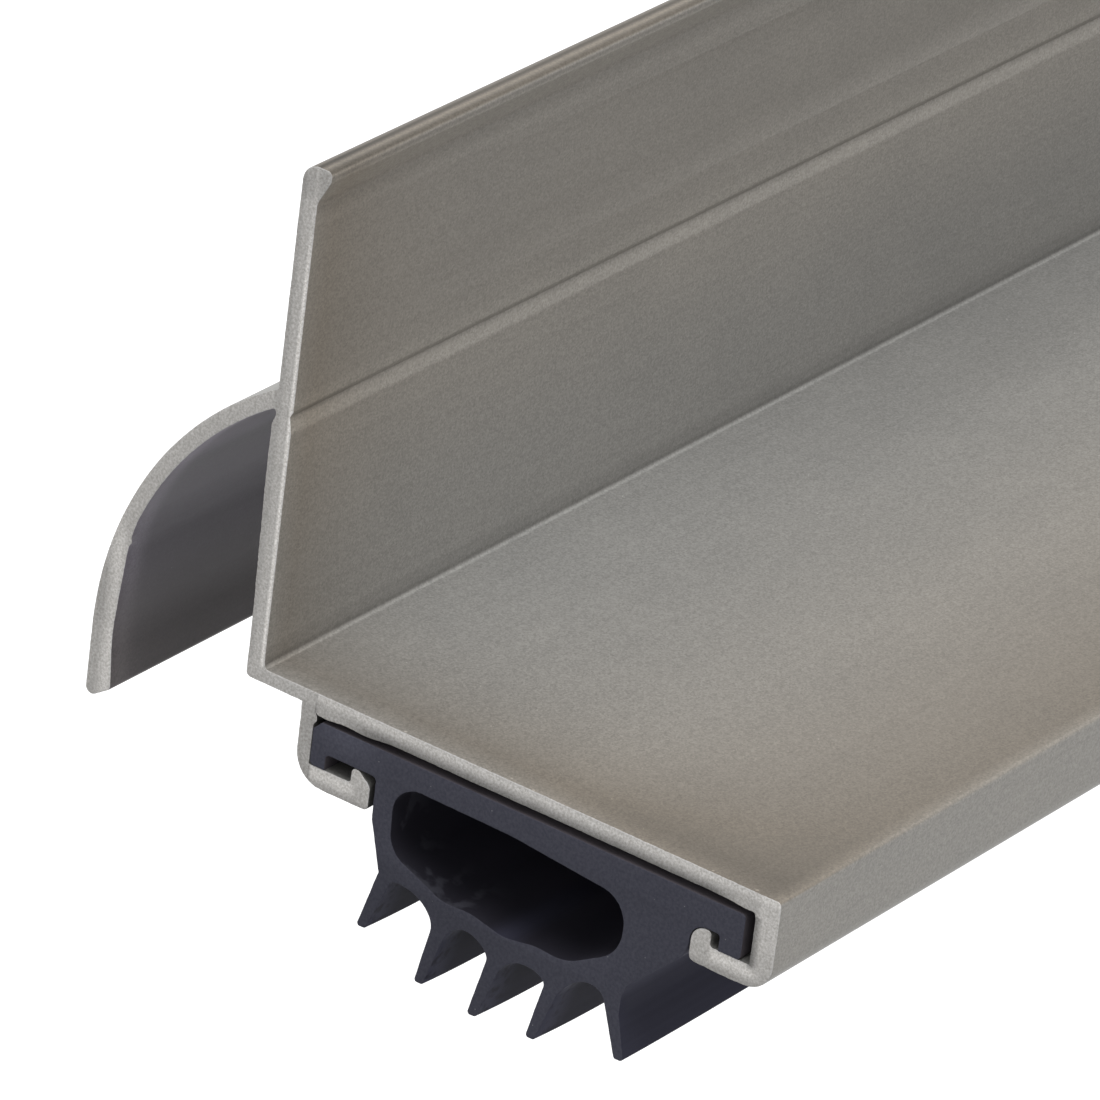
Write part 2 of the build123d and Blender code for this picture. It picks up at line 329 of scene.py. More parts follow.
def extrusion(name, loops, edge_round, ragged, seed, burr=None, stations=(1.0,), drag=None):
    """A closed mesh: every loop swept from end to end, and flat fills between the loops.

    Rows run along X. From the sawn face inwards, the rows follow a quarter circle of the
    edge's rounding. The cut line wanders to both sides by ragged, and burr, a function of
    the first loop's points, adds how far the metal stands out there. stations are the
    distances from each end at which further rows stand, and drag, a function of such a
    distance and of the points, shifts them in the section. Nothing passes its own box.
    """
    turn = np.linspace(0, np.pi / 2, 4)
    rows_x = np.concatenate([-HALF + edge_round * (1 - np.sin(turn[::-1])), np.array(stations) - HALF])
    rows_in = np.concatenate([edge_round * (1 - np.cos(turn[::-1])), np.zeros(len(stations))])
    rows_cut = np.concatenate([[1.0, 0.9, 0.55, 0.12], np.zeros(len(stations))])
    rows_x = np.concatenate([rows_x, -rows_x[::-1]])
    rows_in = np.concatenate([rows_in, rows_in[::-1]])
    rows_cut = np.concatenate([rows_cut, rows_cut[::-1]])
    verts, faces, cuts, caps, ends = [], [], [], [], []
    base = 0
    for k, loop in enumerate(loops):
        n = len(loop)
        size = np.linalg.norm(np.roll(loop, -1, 0) - loop, axis=1).sum()
        normal = outward(loop) * (1 if k == 0 else -1)
        out = ragged * wobble(n, size, seed + k, 0.35)
        if burr and k == 0:
            out = out + burr(loop)
        stand = rows_cut[:, None] * out[None] - rows_in[:, None]
        yz = loop[None] + normal[None] * stand[:, :, None]
        if drag:
            yz = yz + drag(HALF - np.abs(rows_x)[:, None], yz)
        yz = np.clip(yz, loops[0].min(0), loops[0].max(0))
        x = np.broadcast_to(rows_x[:, None, None], (len(rows_x), n, 1))
        verts.append(np.concatenate([x, yz], 2).reshape(-1, 3))
        ends.append(yz[0])
        cuts.append(np.repeat(rows_cut, n))
        row, col = np.meshgrid(np.arange(len(rows_x) - 1), np.arange(n), indexing="ij")
        a = base + row * n + col
        b = base + row * n + (col + 1) % n
        faces.append(np.stack([a, b, b + n, a + n], 2).reshape(-1, 4))
        caps.append((base, base + (len(rows_x) - 1) * n, n))
        base += len(rows_x) * n
    verts, cuts = np.concatenate(verts), np.concatenate(cuts)
    quads = np.concatenate(faces)
    flat = np.array(tessellate_polygon([[Vector((*p, 0.0)) for p in end] for end in ends]))
    index = [np.concatenate([np.arange(c[end], c[end] + c[2]) for c in caps]) for end in (0, 1)]
    fills = np.concatenate([i[flat] for i in index])
    corner = np.concatenate(ends)[flat]
    one, two = corner[:, 1] - corner[:, 0], corner[:, 2] - corner[:, 0]
    filled = np.abs(one[:, 0] * two[:, 1] - one[:, 1] * two[:, 0]).sum() / 2
    open_area = shoelace(ends[0]) - sum(shoelace(e) for e in ends[1:])
    print(name, "sawn face filled:", round(filled, 3), "of", round(open_area, 3), "square mm")
    mesh = bpy.data.meshes.new(name)
    mesh.from_pydata((verts * MM).tolist(), [], quads.tolist() + fills.tolist())
    mesh.attributes.new("cut", "FLOAT", "POINT").data.foreach_set("value", cuts.astype(np.float32))
    mesh.validate()
    piece = bpy.data.objects.new(name, mesh)
    bpy.context.collection.objects.link(piece)
    return piece


def set_outward(piece):
    """Turns every face of a closed mesh outwards, and shades it smooth up to 35 degrees."""
    bpy.context.view_layer.objects.active = piece
    piece.select_set(True)
    bpy.ops.object.mode_set(mode="EDIT")
    bpy.ops.mesh.select_all(action="SELECT")
    bpy.ops.mesh.normals_make_consistent(inside=False)
    bpy.ops.object.mode_set(mode="OBJECT")
    bpy.ops.object.shade_smooth_by_angle(angle=np.radians(35))
    piece.select_set(False)


# %% [markdown]
# ## Carrier
# The section is swept first, and then its screw slots are punched through the leg, as in
# the factory. The cutter is an upright slot outline carried through the leg, a little
# wider where it enters and leaves, because a punch rolls the coat over at the mouth.

# %% Make the carrier
def blade_burr(points):
    """How far the blade has pushed the metal out at each point of the cut line, in mm.

    A sum of humps, each height * exp(-(dy / wide)^2 - (dz / tall)^2), and under the drip
    cap a lip on the leg's outer face that grows evenly from z = 2.5 to z = 14.5 and
    stops at the cap's root.
    """
    y, z = points.T

    def hump(height, y0, z0, wide, tall):
        """One rounded hump of a height about the point y0, z0."""
        return height * np.exp(-(((y - y0) / wide) ** 2) - ((z - z0) / tall) ** 2)

    under = hump(0.36, 16.6, UNDER, 1.5, 0.4) + hump(0.28, 13.2, UNDER, 1.7, 0.4)
    under = under + hump(0.20, -19.6, UNDER, 1.8, 0.4) + hump(0.02, 0.0, UNDER, 16.0, 0.4)
    under = under + hump(0.34, WALL_IN, -2.05, 0.3, 0.38)
    lips = hump(0.05, 15.3, LOWEST, 3.0, 0.4) + hump(0.12, -18.5, LOWEST, 2.8, 0.4)
    corners = hump(0.30, 34.62, 5.0, 0.22, 0.30) + hump(0.16, DOOR, 0.2, 0.3, 0.35)
    leg = 0.28 * np.clip((z - 2.5) / 12, 0, 1) * (1 - np.clip((z - 18.6) / 0.7, 0, 1))
    return under + lips + corners + leg * (np.abs(y - LEG) < 0.02)


carrier = extrusion("carrier_metal", [finer(carrier_outline, 0.15)], 0.10, 0.06, 3, blade_burr)
set_outward(carrier)


def slot_cutter(x, z, width, height, mouth):
    """Closed stack of slot outlines across the leg, widest where it meets the two faces.

    The outline is two half circles joined by straight sides, sampled by angle, and each
    layer stands off it by an amount that grows towards the leg's two faces.
    """
    a = np.linspace(0, 2 * np.pi, 48, endpoint=False) + 1e-6
    half = (height - width) / 2
    ring = np.stack([np.cos(a), np.sin(a)], 1)
    lift = np.stack([np.zeros_like(a), half * np.sign(np.sin(a))], 1)
    from_face = np.array([-1.0, -0.001, 0.05, 0.22])
    level = np.concatenate([DOOR + from_face, LEG - from_face[::-1]])
    stand = mouth * np.array([1.6, 1.0, 0.55, 0.0, 0.0, 0.55, 1.0, 1.6])
    flat = (width / 2 + stand)[:, None, None] * ring + lift
    y = np.broadcast_to(level[:, None, None], (len(level), len(a), 1))
    verts = np.concatenate([x + flat[:, :, :1], y, z + flat[:, :, 1:]], 2).reshape(-1, 3)
    row, col = np.meshgrid(np.arange(len(level) - 1), np.arange(len(a)), indexing="ij")
    p, q = row * len(a) + col, row * len(a) + (col + 1) % len(a)
    sides = np.stack([p, q, q + len(a), p + len(a)], 2).reshape(-1, 4).tolist()
    ends = [list(range(len(a))), list(range((len(level) - 1) * len(a), len(level) * len(a)))[::-1]]
    mesh = bpy.data.meshes.new("slot_cutter")
    mesh.from_pydata((verts * MM).tolist(), [], sides + ends)
    cutter = bpy.data.objects.new("slot_cutter", mesh)
    bpy.context.collection.objects.link(cutter)
    return cutter


SLOT_Z, SLOT_WIDTH, SLOT_HEIGHT, SLOT_MOUTH = 28.5, 4.8, 9.5, 0.20
for slot_x in (-342.9, -114.3, 114.3, 342.9):
    cutter = slot_cutter(slot_x, SLOT_Z, SLOT_WIDTH, SLOT_HEIGHT, SLOT_MOUTH)
    set_outward(cutter)
    punch = carrier.modifiers.new("punch", "BOOLEAN")
    punch.operation, punch.solver, punch.object = "DIFFERENCE", "EXACT", cutter
    bpy.context.view_layer.objects.active = carrier
    bpy.ops.object.modifier_apply(modifier=punch.name)
    bpy.data.objects.remove(cutter)
bpy.context.view_layer.objects.active = carrier
carrier.select_set(True)
bpy.ops.object.shade_smooth_by_angle(angle=np.radians(35))
carrier.select_set(False)
print("carrier:", len(carrier.data.vertices), "points", len(carrier.data.polygons), "faces")

# %% [markdown]
# ## Insert
# The vinyl is cut with the same saw. Its edge stays crisper than the metal's, because
# soft plastic isn't deburred, but its cut line is more ragged. The blade drags the soft
# fins along, so behind the cut they lean off their line a little and then come back.

# %% Make the insert
def fin_drag(depth, points):
    """Shift in mm of points on the fins, at a depth in mm behind the sawn face.

    It is -0.42 * (depth / 12) * exp(1 - depth / 12) along Y at a fin's tip, and falls
    evenly to nothing at its root. The last fin is stiffer and moves a quarter as far.
    """
    y, z = points[..., 0], points[..., 1]
    start = np.interp(y, tip_y[::-1], root_z[::-1])
    reach = np.interp(y, tip_y[::-1], (root_z - tip_z)[::-1])
    part = np.clip((start - z) / reach, 0, 1) * np.interp(y, [-11.5, -8.5], [0.25, 1.0])
    shift = -0.42 * depth / 12 * np.exp(1 - depth / 12) * part
    return np.stack([shift, np.zeros_like(shift)], -1)


insert_loops = [finer(insert_outline, 0.30), finer(hollow_outline, 0.30)]
behind = (1.0, 2.5, 4.5, 7.0, 10.0, 14.0, 20.0, 28.0, 40.0, 60.0, 90.0)
insert = extrusion("insert_vinyl", insert_loops, 0.07, 0.05, 11, stations=behind, drag=fin_drag)
set_outward(insert)
print("insert:", len(insert.data.vertices), "points", len(insert.data.polygons), "faces")

for piece, node, slot in ((carrier, "carrier", "metal"), (insert, "insert", "vinyl")):
    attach(piece, "root")
    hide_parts(node)

# %% [markdown]
# ## Shader maths that reads like arithmetic
# A material here is a formula: how bright, how rough and how high the surface is at each
# point. Wiring that by hand hides the formula in boxes and lines. A small class holds one
# output socket and overloads the signs, so that an expression adds its own Math nodes.


# %% Material helper
class Value:
    """One number that varies over a surface: a node's output socket, with the usual signs."""

    def __init__(self, material, socket):
        self.material, self.socket = material, socket

    def math(self, operation, *others, clamp=False):
        """One Math node on this number and the others, which may be plain numbers."""
        inputs = dict(enumerate((self, *others)))
        return self.material.add("ShaderNodeMath", inputs, operation=operation, use_clamp=clamp)["Value"]

    def __add__(self, other):
        return self.math("ADD", other)

    def __mul__(self, other):
        return self.math("MULTIPLY", other)

    def __sub__(self, other):
        return self.math("SUBTRACT", other)

    def __rsub__(self, other):
        return self.material.add("ShaderNodeMath", {0: other, 1: self}, operation="SUBTRACT")["Value"]

    def __truediv__(self, other):
        return self.math("DIVIDE", other)

    def __pow__(self, other):
        return self.math("POWER", other)

    __radd__, __rmul__ = __add__, __mul__

    def clip(self):
        """The number held between 0 and 1."""
        return self.math("ADD", 0.0, clamp=True)

    def rise(self, low, high):
        """0 below low, 1 above high, and a smooth step between."""
        values = {"Value": self, "From Min": low, "From Max": high, "To Min": 0.0, "To Max": 1.0}
        return self.material.add("ShaderNodeMapRange", values, interpolation_type="SMOOTHSTEP")["Result"]

    def fall(self, low, high):
        """1 below low, 0 above high, and a smooth step between."""
        return self.rise(high, low)


class Finish:
    """A material of Principled shaders, and the one method that makes its other nodes."""

    def __init__(self, name, **constants):
        self.data = bpy.data.materials.new(name)
        self.data.use_nodes = True
        self.tree = self.data.node_tree
        self.constants = constants
        self.dress(self.tree.nodes["Principled BSDF"])
        self.place = self.add("ShaderNodeTexCoord", {})["Object"]
        parts = self.add("ShaderNodeSeparateXYZ", {"Vector": self.place})
        self.x, self.y, self.z = (parts[k] * 1000.0 for k in "XYZ")

    def dress(self, shader):
        """Gives a Principled shader the finish's constants, and links go to it from now on."""
        self.shader = shader
        for socket, value in self.constants.items():
            shader.inputs[socket.replace("_", " ")].default_value = value

    def cover(self, factor):
        """Puts a second shader over the first one, which it hides where factor is 1.

        Where factor is exactly 0 or 1, only one side's maths has to be worked out.
        """
        under = Value(self, self.shader.outputs["BSDF"])
        self.dress(self.tree.nodes.new("ShaderNodeBsdfPrincipled"))
        over = Value(self, self.shader.outputs["BSDF"])
        both = self.add("ShaderNodeMixShader", {"Fac": factor, 1: under, 2: over})["Shader"]
        self.tree.links.new(both.socket, self.tree.nodes["Material Output"].inputs["Surface"])

    def add(self, kind, inputs, **settings):
        """Makes a node: its type, its settings first, then values or links of its sockets."""
        node = self.tree.nodes.new(kind)
        for key, value in settings.items():
            setattr(node, key, value)
        for key, value in inputs.items():
            if isinstance(value, Value):
                self.tree.links.new(value.socket, node.inputs[key])
            else:
                node.inputs[key].default_value = value
        return {o.name: Value(self, o) for o in reversed(list(node.outputs)) if o.enabled}

    def spot(self, sizes, shift):
        """The point in units of sizes, in millimetres along each axis, moved by shift."""
        scale = [1 / (size * MM) for size in sizes]
        values = {"Vector": self.place, "Location": shift, "Scale": scale}
        return self.add("ShaderNodeMapping", values)["Vector"]

    def noise(self, size, detail=2.0, roughness=0.5, stretch=(1, 1, 1), seed=0.0):
        """Soft noise about 0.5, with features of about size millimetres, stretched by axis."""
        where = self.spot([size * s for s in stretch], (seed, seed * 1.7, seed * 0.6))
        values = {"Vector": where, "Scale": 1.0, "Detail": detail, "Roughness": roughness}
        return self.add("ShaderNodeTexNoise", values)["Fac"]

    def cells(self, size, seed=0.0):
        """Small cells of about size millimetres: a random colour and the distance in each."""
        where = self.spot([size] * 3, (seed, seed, seed))
        return self.add("ShaderNodeTexVoronoi", {"Vector": where, "Scale": 1.0})

    def dots(self, size, radius, share, seed=0.0):
        """1 on round dots of a radius in millimetres, in a share of the cells of a size."""
        return self.dots_in(self.cells(size, seed), size, radius, share)

    def dots_in(self, cell, size, radius, share, part="Red"):
        """The same, in cells already made, chosen by one part of their colour."""
        chosen = self.number(cell["Color"], part).math("GREATER_THAN", 1.0 - share)
        return (cell["Distance"] * size).fall(radius * 0.5, radius) * chosen

    def band(self, distance, middle, half_width):
        """1 at the middle of a band, easing to 0 at half_width on both sides."""
        return (distance - middle).math("ABSOLUTE").fall(0.0, half_width)

    def away(self, y, z):
        """Distance in millimetres from the line along X through y and z."""
        return ((self.y - y) ** 2.0 + (self.z - z) ** 2.0) ** 0.5

    def scaled(self, colour, factor):
        """A colour times a number."""
        values = {"Vector": colour, "Scale": factor}
        return self.add("ShaderNodeVectorMath", values, operation="SCALE")["Vector"]

    def number(self, colour, part="Red"):
        """One part of a colour, as a plain number."""
        return self.add("ShaderNodeSeparateColor", {"Color": colour})[part]

    def mix(self, factor, first, second):
        """First colour where factor is 0, second where it is 1."""
        node = self.tree.nodes.new("ShaderNodeMix")
        node.data_type = "RGBA"
        for key, value in ((0, factor), (6, first), (7, second)):
            if isinstance(value, Value):
                self.tree.links.new(value.socket, node.inputs[key])
            else:
                node.inputs[key].default_value = value if key == 0 else (*value, 1.0)
        return Value(self, node.outputs[2])

    def link(self, socket, value):
        """Feeds one of the shader's own sockets."""
        self.tree.links.new(value.socket, self.shader.inputs[socket])

    def bump(self, height, strength, distance_mm):
        """Relief of height times distance, as the shader's normal."""
        values = {"Height": height, "Strength": strength, "Distance": distance_mm * MM}
        self.link("Normal", self.add("ShaderNodeBump", values)["Normal"])


# %% [markdown]
# ## The metal's finish
# The drawn faces carry a satin nickel coat: a warm grey with fine metal flakes, slightly
# clouded, with faint lines along the draw. Over it lie painted light and shade: a darker,
# browner band along the cut and along the flange's free edge is painted shade and painted
# reflection, and the corner is darkened as painted shade. The sawn ends are lighter and
# grainy, since the blade opens the metal, and the pale rim round them is partly burr and
# partly painted highlight. The cut attribute tells one from the other.
# Each band is a number that rises and falls with the distance from its edge, so that a
# stranger can move one band and leave the rest as it is. What only hangs on the place in
# the section is the same along the whole length, so it is worked out once, at the mesh's
# points, and kept there as two numbers: one for the painted light and shade, and one for a
# painted brownish reflection. The finish reads them, and adds what changes with the
# distance from the cut.

# %% Where the coat's painted light and shade lie, at the mesh's points
class Numbers(np.ndarray):
    """Numbers at the mesh's points, with the same smooth steps as the shader's values."""

    def rise(self, low, high):
        """0 below low, 1 above high: 3t^2 - 2t^3 of the way t from low to high."""
        t = np.clip((self - low) / (high - low), 0, 1)
        return t * t * (3 - 2 * t)

    def fall(self, low, high):
        """1 below low, 0 above high."""
        return 1.0 - self.rise(low, high)

    def band(self, middle, half_width):
        """1 at the middle of a band, easing to 0 at half_width on both sides."""
        return abs(self - middle).fall(0.0, half_width)


def store(piece, name, numbers):
    """Keeps one number for each point of a piece, under a name that its finish can read."""
    attribute = piece.data.attributes.new(name, "FLOAT", "POINT")
    attribute.data.foreach_set("value", np.asarray(numbers, np.float32))


flat_points = np.empty(len(carrier.data.vertices) * 3)
carrier.data.vertices.foreach_get("co", flat_points)
y, z = (flat_points.reshape(-1, 3)[:, 1:] / MM).T.view(Numbers)
door_side = y.fall(DOOR + 0.2, DOOR + 0.5)
flange = z.fall(0.0, 0.2) * z.rise(-0.22, -0.05) * door_side
leg = z.rise(0.0, 0.2) * y.rise(20.6, 21.0) * door_side
edge_wall = y.fall(EDGE + 0.05, EDGE + 0.3) * z.fall(-0.22, -0.05)
crown = z.rise(TOP - 0.30, TOP - 0.10)
radius = np.hypot(y - DRIP_CENTRE[0], z - DRIP_CENTRE[1])
in_cap = y.rise(LEG - 0.1, LEG + 0.2) * radius.fall(27.2, 27.5)

# Painted shade: the flange darker towards its free edge, with a painted highlight along that edge.
near_edge = flange * np.clip((-3.5 - y) * 0.0195, 0, 1)
bright_edge = flange * (0.16 * (DOOR - y).rise(42.9, 44.2) + 0.14 * y.band(EDGE + 0.17, 0.22))
# Painted shade with a light line at the leg's foot; painted highlights and shade on the bead and the
# leg's top.
corner_leg = leg * (0.11 * z.band(0.9, 1.3) + 0.22 * z.band(0.34, 0.42))
nose = 0.44 * y.band(DOOR - 0.31, 0.42) + 0.18 * y.fall(DOOR - 0.72, DOOR - 0.42)
bead = (1.0 - crown) * (0.20 * z.rise(TOP - 2.8, TOP - 2.3) - 0.30 * z.band(TOP - 0.55, 0.36))
below_bead = 0.05 * z.band(TOP - 4.25, 0.40) - 0.05 * z.band(TOP - 3.25, 0.60)
# A painted light band and a painted dark line at the sight groove.
groove = 0.11 * z.band(GROOVE - 0.79, 0.80) + 0.06 * z.band(GROOVE + 1.11, 0.60)
groove = groove - 0.09 * z.band(GROOVE + 0.13, 0.44)
# Painted shade inside the channel, deepest at the lips' mouth.
channel = y.rise(EDGE + 1.7, EDGE + 1.85) * y.fall(WALL_IN + 0.02, WALL_IN + 0.15)
channel = channel * z.fall(UNDER - 0.1, UNDER + 0.02)
mouth = y.rise(LIP_EDGE - 0.15, LIP_EDGE) * y.fall(LIP_LEG, LIP_LEG + 0.15)
channel = channel * (mouth + (1.0 - mouth) * z.rise(LIP - 0.1, LIP - 0.02))
# Painted shade inside the drip cap, lighter towards its root.
cap_dim = 0.77 - 0.20 * z.rise(15.0, 17.0) - 0.40 * z.rise(17.0, 19.0)
cap_dim = cap_dim - 0.05 * y.rise(31.5, 34.0) - 0.23 * z.rise(11.0, 13.5)

# The first sum is painted light and shade, with the leg's face and the edge wall painted darker; the
# second is a painted brownish reflection.
painted_light = 1.0 - near_edge + bright_edge - corner_leg + leg * (bead + below_bead + groove)
painted_light = painted_light + crown * (nose - 0.50) - leg * (0.08 + 0.15 * z.rise(17.0, 26.0)) - 0.03 * flange
painted_light = painted_light - 0.11 * edge_wall - channel * (0.48 + 0.30 * mouth) - in_cap * cap_dim
painted_reflection = flange * np.clip((DOOR - y - 2.5) / 42.0, 0, 1) ** 1.6 + leg * (0.10 + 0.30 * z.rise(5.0, 21.0))
painted_reflection = painted_reflection - bright_edge * 1.2 + edge_wall * 0.25 + crown * 0.8
store(carrier, "painted_light", painted_light)
store(carrier, "painted_reflection", painted_reflection)
print("tone from", painted_light.min().round(3), "to", painted_light.max().round(3), "warmth to", painted_reflection.max().round(3))

# %% Where the coat changes with the distance from the cut
metal = Finish("satin_nickel", Metallic=0.22, Specular_IOR_Level=0.25)
cut, painted_light, painted_reflection = (
    metal.add("ShaderNodeAttribute", {}, attribute_name=name)["Fac"] for name in ("cut", "painted_light", "painted_reflection")
)
from_end = HALF - metal.x.math("ABSOLUTE")
from_corner = DOOR - metal.y
door_side = metal.y.fall(DOOR + 0.2, DOOR + 0.5)
flange = metal.z.fall(0.0, 0.2) * metal.z.rise(-0.22, -0.05) * door_side
leg = metal.z.rise(0.0, 0.2) * metal.y.rise(20.6, 21.0) * door_side
in_cap = metal.y.rise(LEG - 0.1, LEG + 0.2) * metal.away(*DRIP_CENTRE).fall(27.2, 27.5)

# Painted shade in a band along the cut and in the corner away from it, a painted highlight along the
# corner, and painted light inside the drip cap's mouth.
fade = (from_end * (-1 / 6.2)).math("EXPONENT") * ((from_end + 1.2) / 3.6).clip()
leg_cut = 0.16 + 0.12 * metal.z.rise(1.0, 4.0) - 0.12 * metal.z.rise(8.0, 30.0)
flange_cut = flange * (0.40 + 0.06 * from_corner.rise(5.0, 24.0))
near_cut = fade * (flange_cut + leg * leg_cut) * (1.0 - 0.35 * flange * from_corner.rise(30.0, 43.0))
near_cut = near_cut + 0.17 * fade * leg * metal.band(metal.z, GROOVE + 0.13, 0.44)
far_corner = 0.16 * flange * from_corner.fall(6.0, 13.0) + 0.10 * leg * metal.z.fall(8.0, 20.0)
far_corner = far_corner * from_end.rise(25.0, 95.0)
corner_line = flange * metal.band(metal.y, DOOR - 0.20, 0.13) * (0.08 + 0.16 * fade)
cap_mouth = from_end.fall(0.8, 3.0) * (0.14 + 0.12 * metal.z.rise(-1.0, 3.0))
cap_mouth = in_cap * (cap_mouth - 0.04 * from_end.rise(2.0, 5.0) * metal.z.fall(-1.0, 2.0))
print("bands: near the cut, the far corner, the corner's line, the cap's mouth")

# %% [markdown]
# ## The sawn face, part by part
# The sawn face is painted lighter along each wall's upper or outer side and darker along
# the other: painted highlight and painted shade where its slightly rounded edges turn
# towards and away from the light. Each wall of the section has its own light and dark
# side, so each is written as its own zone, in the section's millimetres.
# They add up to one number, by which the bare metal's colour is scaled. The bare metal
# is a shader of its own over the coat's, with a ragged line between them at the cut.

# %% Light and dark on the sawn face
# Flange face: a painted highlight band over its upper part and painted shade along its lower edge, weaker
# near the lips. It is also lighter near the free edge.
top_wall = metal.z.rise(UNDER - 0.45, UNDER - 0.35)
on_flange = top_wall * metal.y.fall(17.3, 17.6)
lower_shade = metal.z.fall(UNDER + 0.05, UNDER + 0.85) * metal.y.rise(-20.9, -20.2)
near_lips = metal.y.rise(11.5, 16.0) + metal.y.fall(-18.8, -16.8)
face = on_flange * (0.25 * metal.band(metal.z, -0.32, 0.42) - lower_shade * (0.60 - 0.45 * near_lips))
face = face + 0.16 * on_flange * metal.y.fall(-20.9, -20.2)

# Leg face: a painted highlight line that fades upwards, and painted shade on its outer side and at its
# top.
on_leg = metal.y.rise(22.0, 22.1) * metal.z.rise(-0.2, 0.4) * metal.y.fall(LEG + 0.1, LEG + 0.4)
line_up = 0.60 - 0.48 * metal.z.rise(29.0, 35.5)
leg_light = line_up * metal.band(metal.y, 22.40, 0.26) + 0.04 - 0.18 * metal.y.rise(23.0, 23.5)
face = face + on_leg * leg_light - 0.15 * metal.z.rise(35.8, 36.8)

# The wall's face on the leg's side is darker. The edge wall's face is painted lighter outside, with
# painted shade on its inner side.
on_wall = metal.z.fall(-1.3, -0.8) * metal.y.rise(17.2, 17.5) * metal.y.fall(18.8, 19.2)
on_edge = (1.0 - top_wall) * metal.y.fall(-20.2, -20.1) * metal.z.rise(LIP - 0.6, LIP + 0.2)
edge_light = 0.16 - 0.12 * metal.z.fall(-5.0, -3.5) - 0.72 * metal.y.rise(-21.15, -20.35)
face = face - 0.20 * on_wall + on_edge * edge_light

# Lips: a painted highlight band across their faces, and painted shade at their lowest edge.
on_lips = metal.z.fall(LIP - 0.1, LIP) * metal.y.fall(17.2, 17.5)
along_lip = metal.y.rise(-21.6, -20.2) * metal.y.fall(-17.4, -16.8) + 0.85 * metal.y.rise(13.2, 14.0)
lip_light = along_lip * (0.45 * metal.band(metal.z, -6.10, 0.80) + 0.04)
bottom_shade = metal.z.fall(LOWEST, LOWEST + 0.65)
face = face + on_lips * (lip_light - 0.04 - 0.22 * bottom_shade)

# Drip cap face: a painted highlight band, and painted shade on its outer side and round z = 0.
on_drip = metal.y.rise(33.8, 34.6) * metal.z.fall(4.0, 8.0)
drip_light = 0.33 * metal.band(metal.y, 35.55, 0.95) - 0.10 * metal.y.rise(36.1, 36.6)
face = face + on_drip * (drip_light - 0.12 * metal.band(metal.z, 0.0, 3.5))

blotch = metal.noise(1.1, 2.0, 0.5, seed=12.0) - 0.5
seam_up_down = metal.z.rise(UNDER - 0.2, UNDER) + metal.z.fall(LIP - 0.2, LIP - 0.1)
seam = metal.band(metal.y, WALL_IN - 0.08, 0.13) * seam_up_down
face = 1.0 + face + 0.22 * blotch - 0.24 * seam
print("zones on the sawn face: flange, leg, wall, edge, lips, drip cap")

# %% Metal finish
cloud = metal.noise(9.0, 3.0, 0.6, seed=2.0) - 0.5
draw = metal.noise(0.5, 2.0, 0.6, stretch=(260, 1, 1), seed=5.0) - 0.5
flake = metal.number(metal.cells(0.13)["Color"]) - 0.5
grain = (metal.noise(0.20, 1.0, 0.7, seed=1.0) - 0.5) * 0.75
saw = metal.noise(0.20, 1.0, 0.75, seed=9.0)
scuff = metal.noise(0.35, 2.0, 0.6, stretch=(40, 1, 1), seed=6.0).rise(0.50, 0.72)
scuff = scuff * flange * metal.band(from_corner, 3.5, 3.0) * metal.band(from_end, 42.0, 26.0)
spots = metal.cells(0.8, seed=23.0)
speck = metal.dots_in(spots, 0.8, 0.07, 0.06, "Green")
chips = metal.dots_in(spots, 0.8, 0.17, 0.40) * flange * from_end.fall(0.3, 1.0)

shade = painted_light - near_cut - far_corner + corner_line + cap_mouth - 0.07 * scuff + 0.45 * chips
shade = shade * (1.0 + cloud * 0.14 + draw * 0.14 + flake * 0.30 + grain * 0.48 + speck * 0.8)

# Browner towards the cut: painted reflection, with random clouding.
warm = (painted_reflection + fade * (0.95 * flange + 0.85 * leg) + cloud * 0.10).clip()
coat = metal.mix(warm, (0.340, 0.335, 0.320), (0.352, 0.311, 0.259))
# Inside the drip cap, a darker purplish coat: painted shade and painted reflection.
cap_coat = metal.mix(metal.z.rise(-6.0, 6.0), (0.308, 0.276, 0.282), (0.302, 0.274, 0.332))
coat = metal.scaled(metal.mix(in_cap, coat, cap_coat), shade)

ragged_cut = (cut + (metal.noise(0.35, 3.0) - 0.5) * 0.5).rise(0.35, 0.6)
# The pale rim round the sawn face is partly burr and partly a painted highlight.
burr = cut.rise(0.05, 0.45) * cut.fall(0.80, 1.0) * metal.noise(0.6, 2.0, seed=14.0).rise(0.35, 0.65)
bare = metal.mix(saw.rise(0.15, 0.85), (0.360, 0.345, 0.322), (0.622, 0.607, 0.592))
bare = metal.mix(burr * 0.5, metal.scaled(bare, face), (0.576, 0.580, 0.591))
metal.link("Base Color", coat)
metal.link("Roughness", 0.50 + flake * 0.10 + cloud * 0.06)
metal.bump(grain, 0.35, 0.02)
metal.cover(ragged_cut)
metal.link("Base Color", bare)
metal.link("Roughness", 0.56 + saw * 0.04)
metal.bump(saw * 1.4, 0.35, 0.02)
carrier.data.materials.append(metal.data)

# %% [markdown]
# ## The vinyl's finish
# Flexible vinyl is nearly black with a blue cast. Where it was drawn it is smooth and
# dark, and where it was cut the surface is torn a little, so it scatters more light and
# looks greyer, with a few pale crumbs.

# %% Vinyl finish
vinyl = Finish("blue_black_vinyl", Specular_IOR_Level=0.08)
sawn = vinyl.add("ShaderNodeAttribute", {}, attribute_name="cut")["Fac"].rise(0.4, 0.8)
behind_cut = HALF - vinyl.x.math("ABSOLUTE")
fine = vinyl.noise(0.25, 3.0, 0.65, seed=4.0)
streak = vinyl.noise(0.6, 2.0, 0.5, stretch=(120, 1, 1), seed=8.0)
crumb = vinyl.dots(0.9, 0.06, 0.25, seed=2.0)

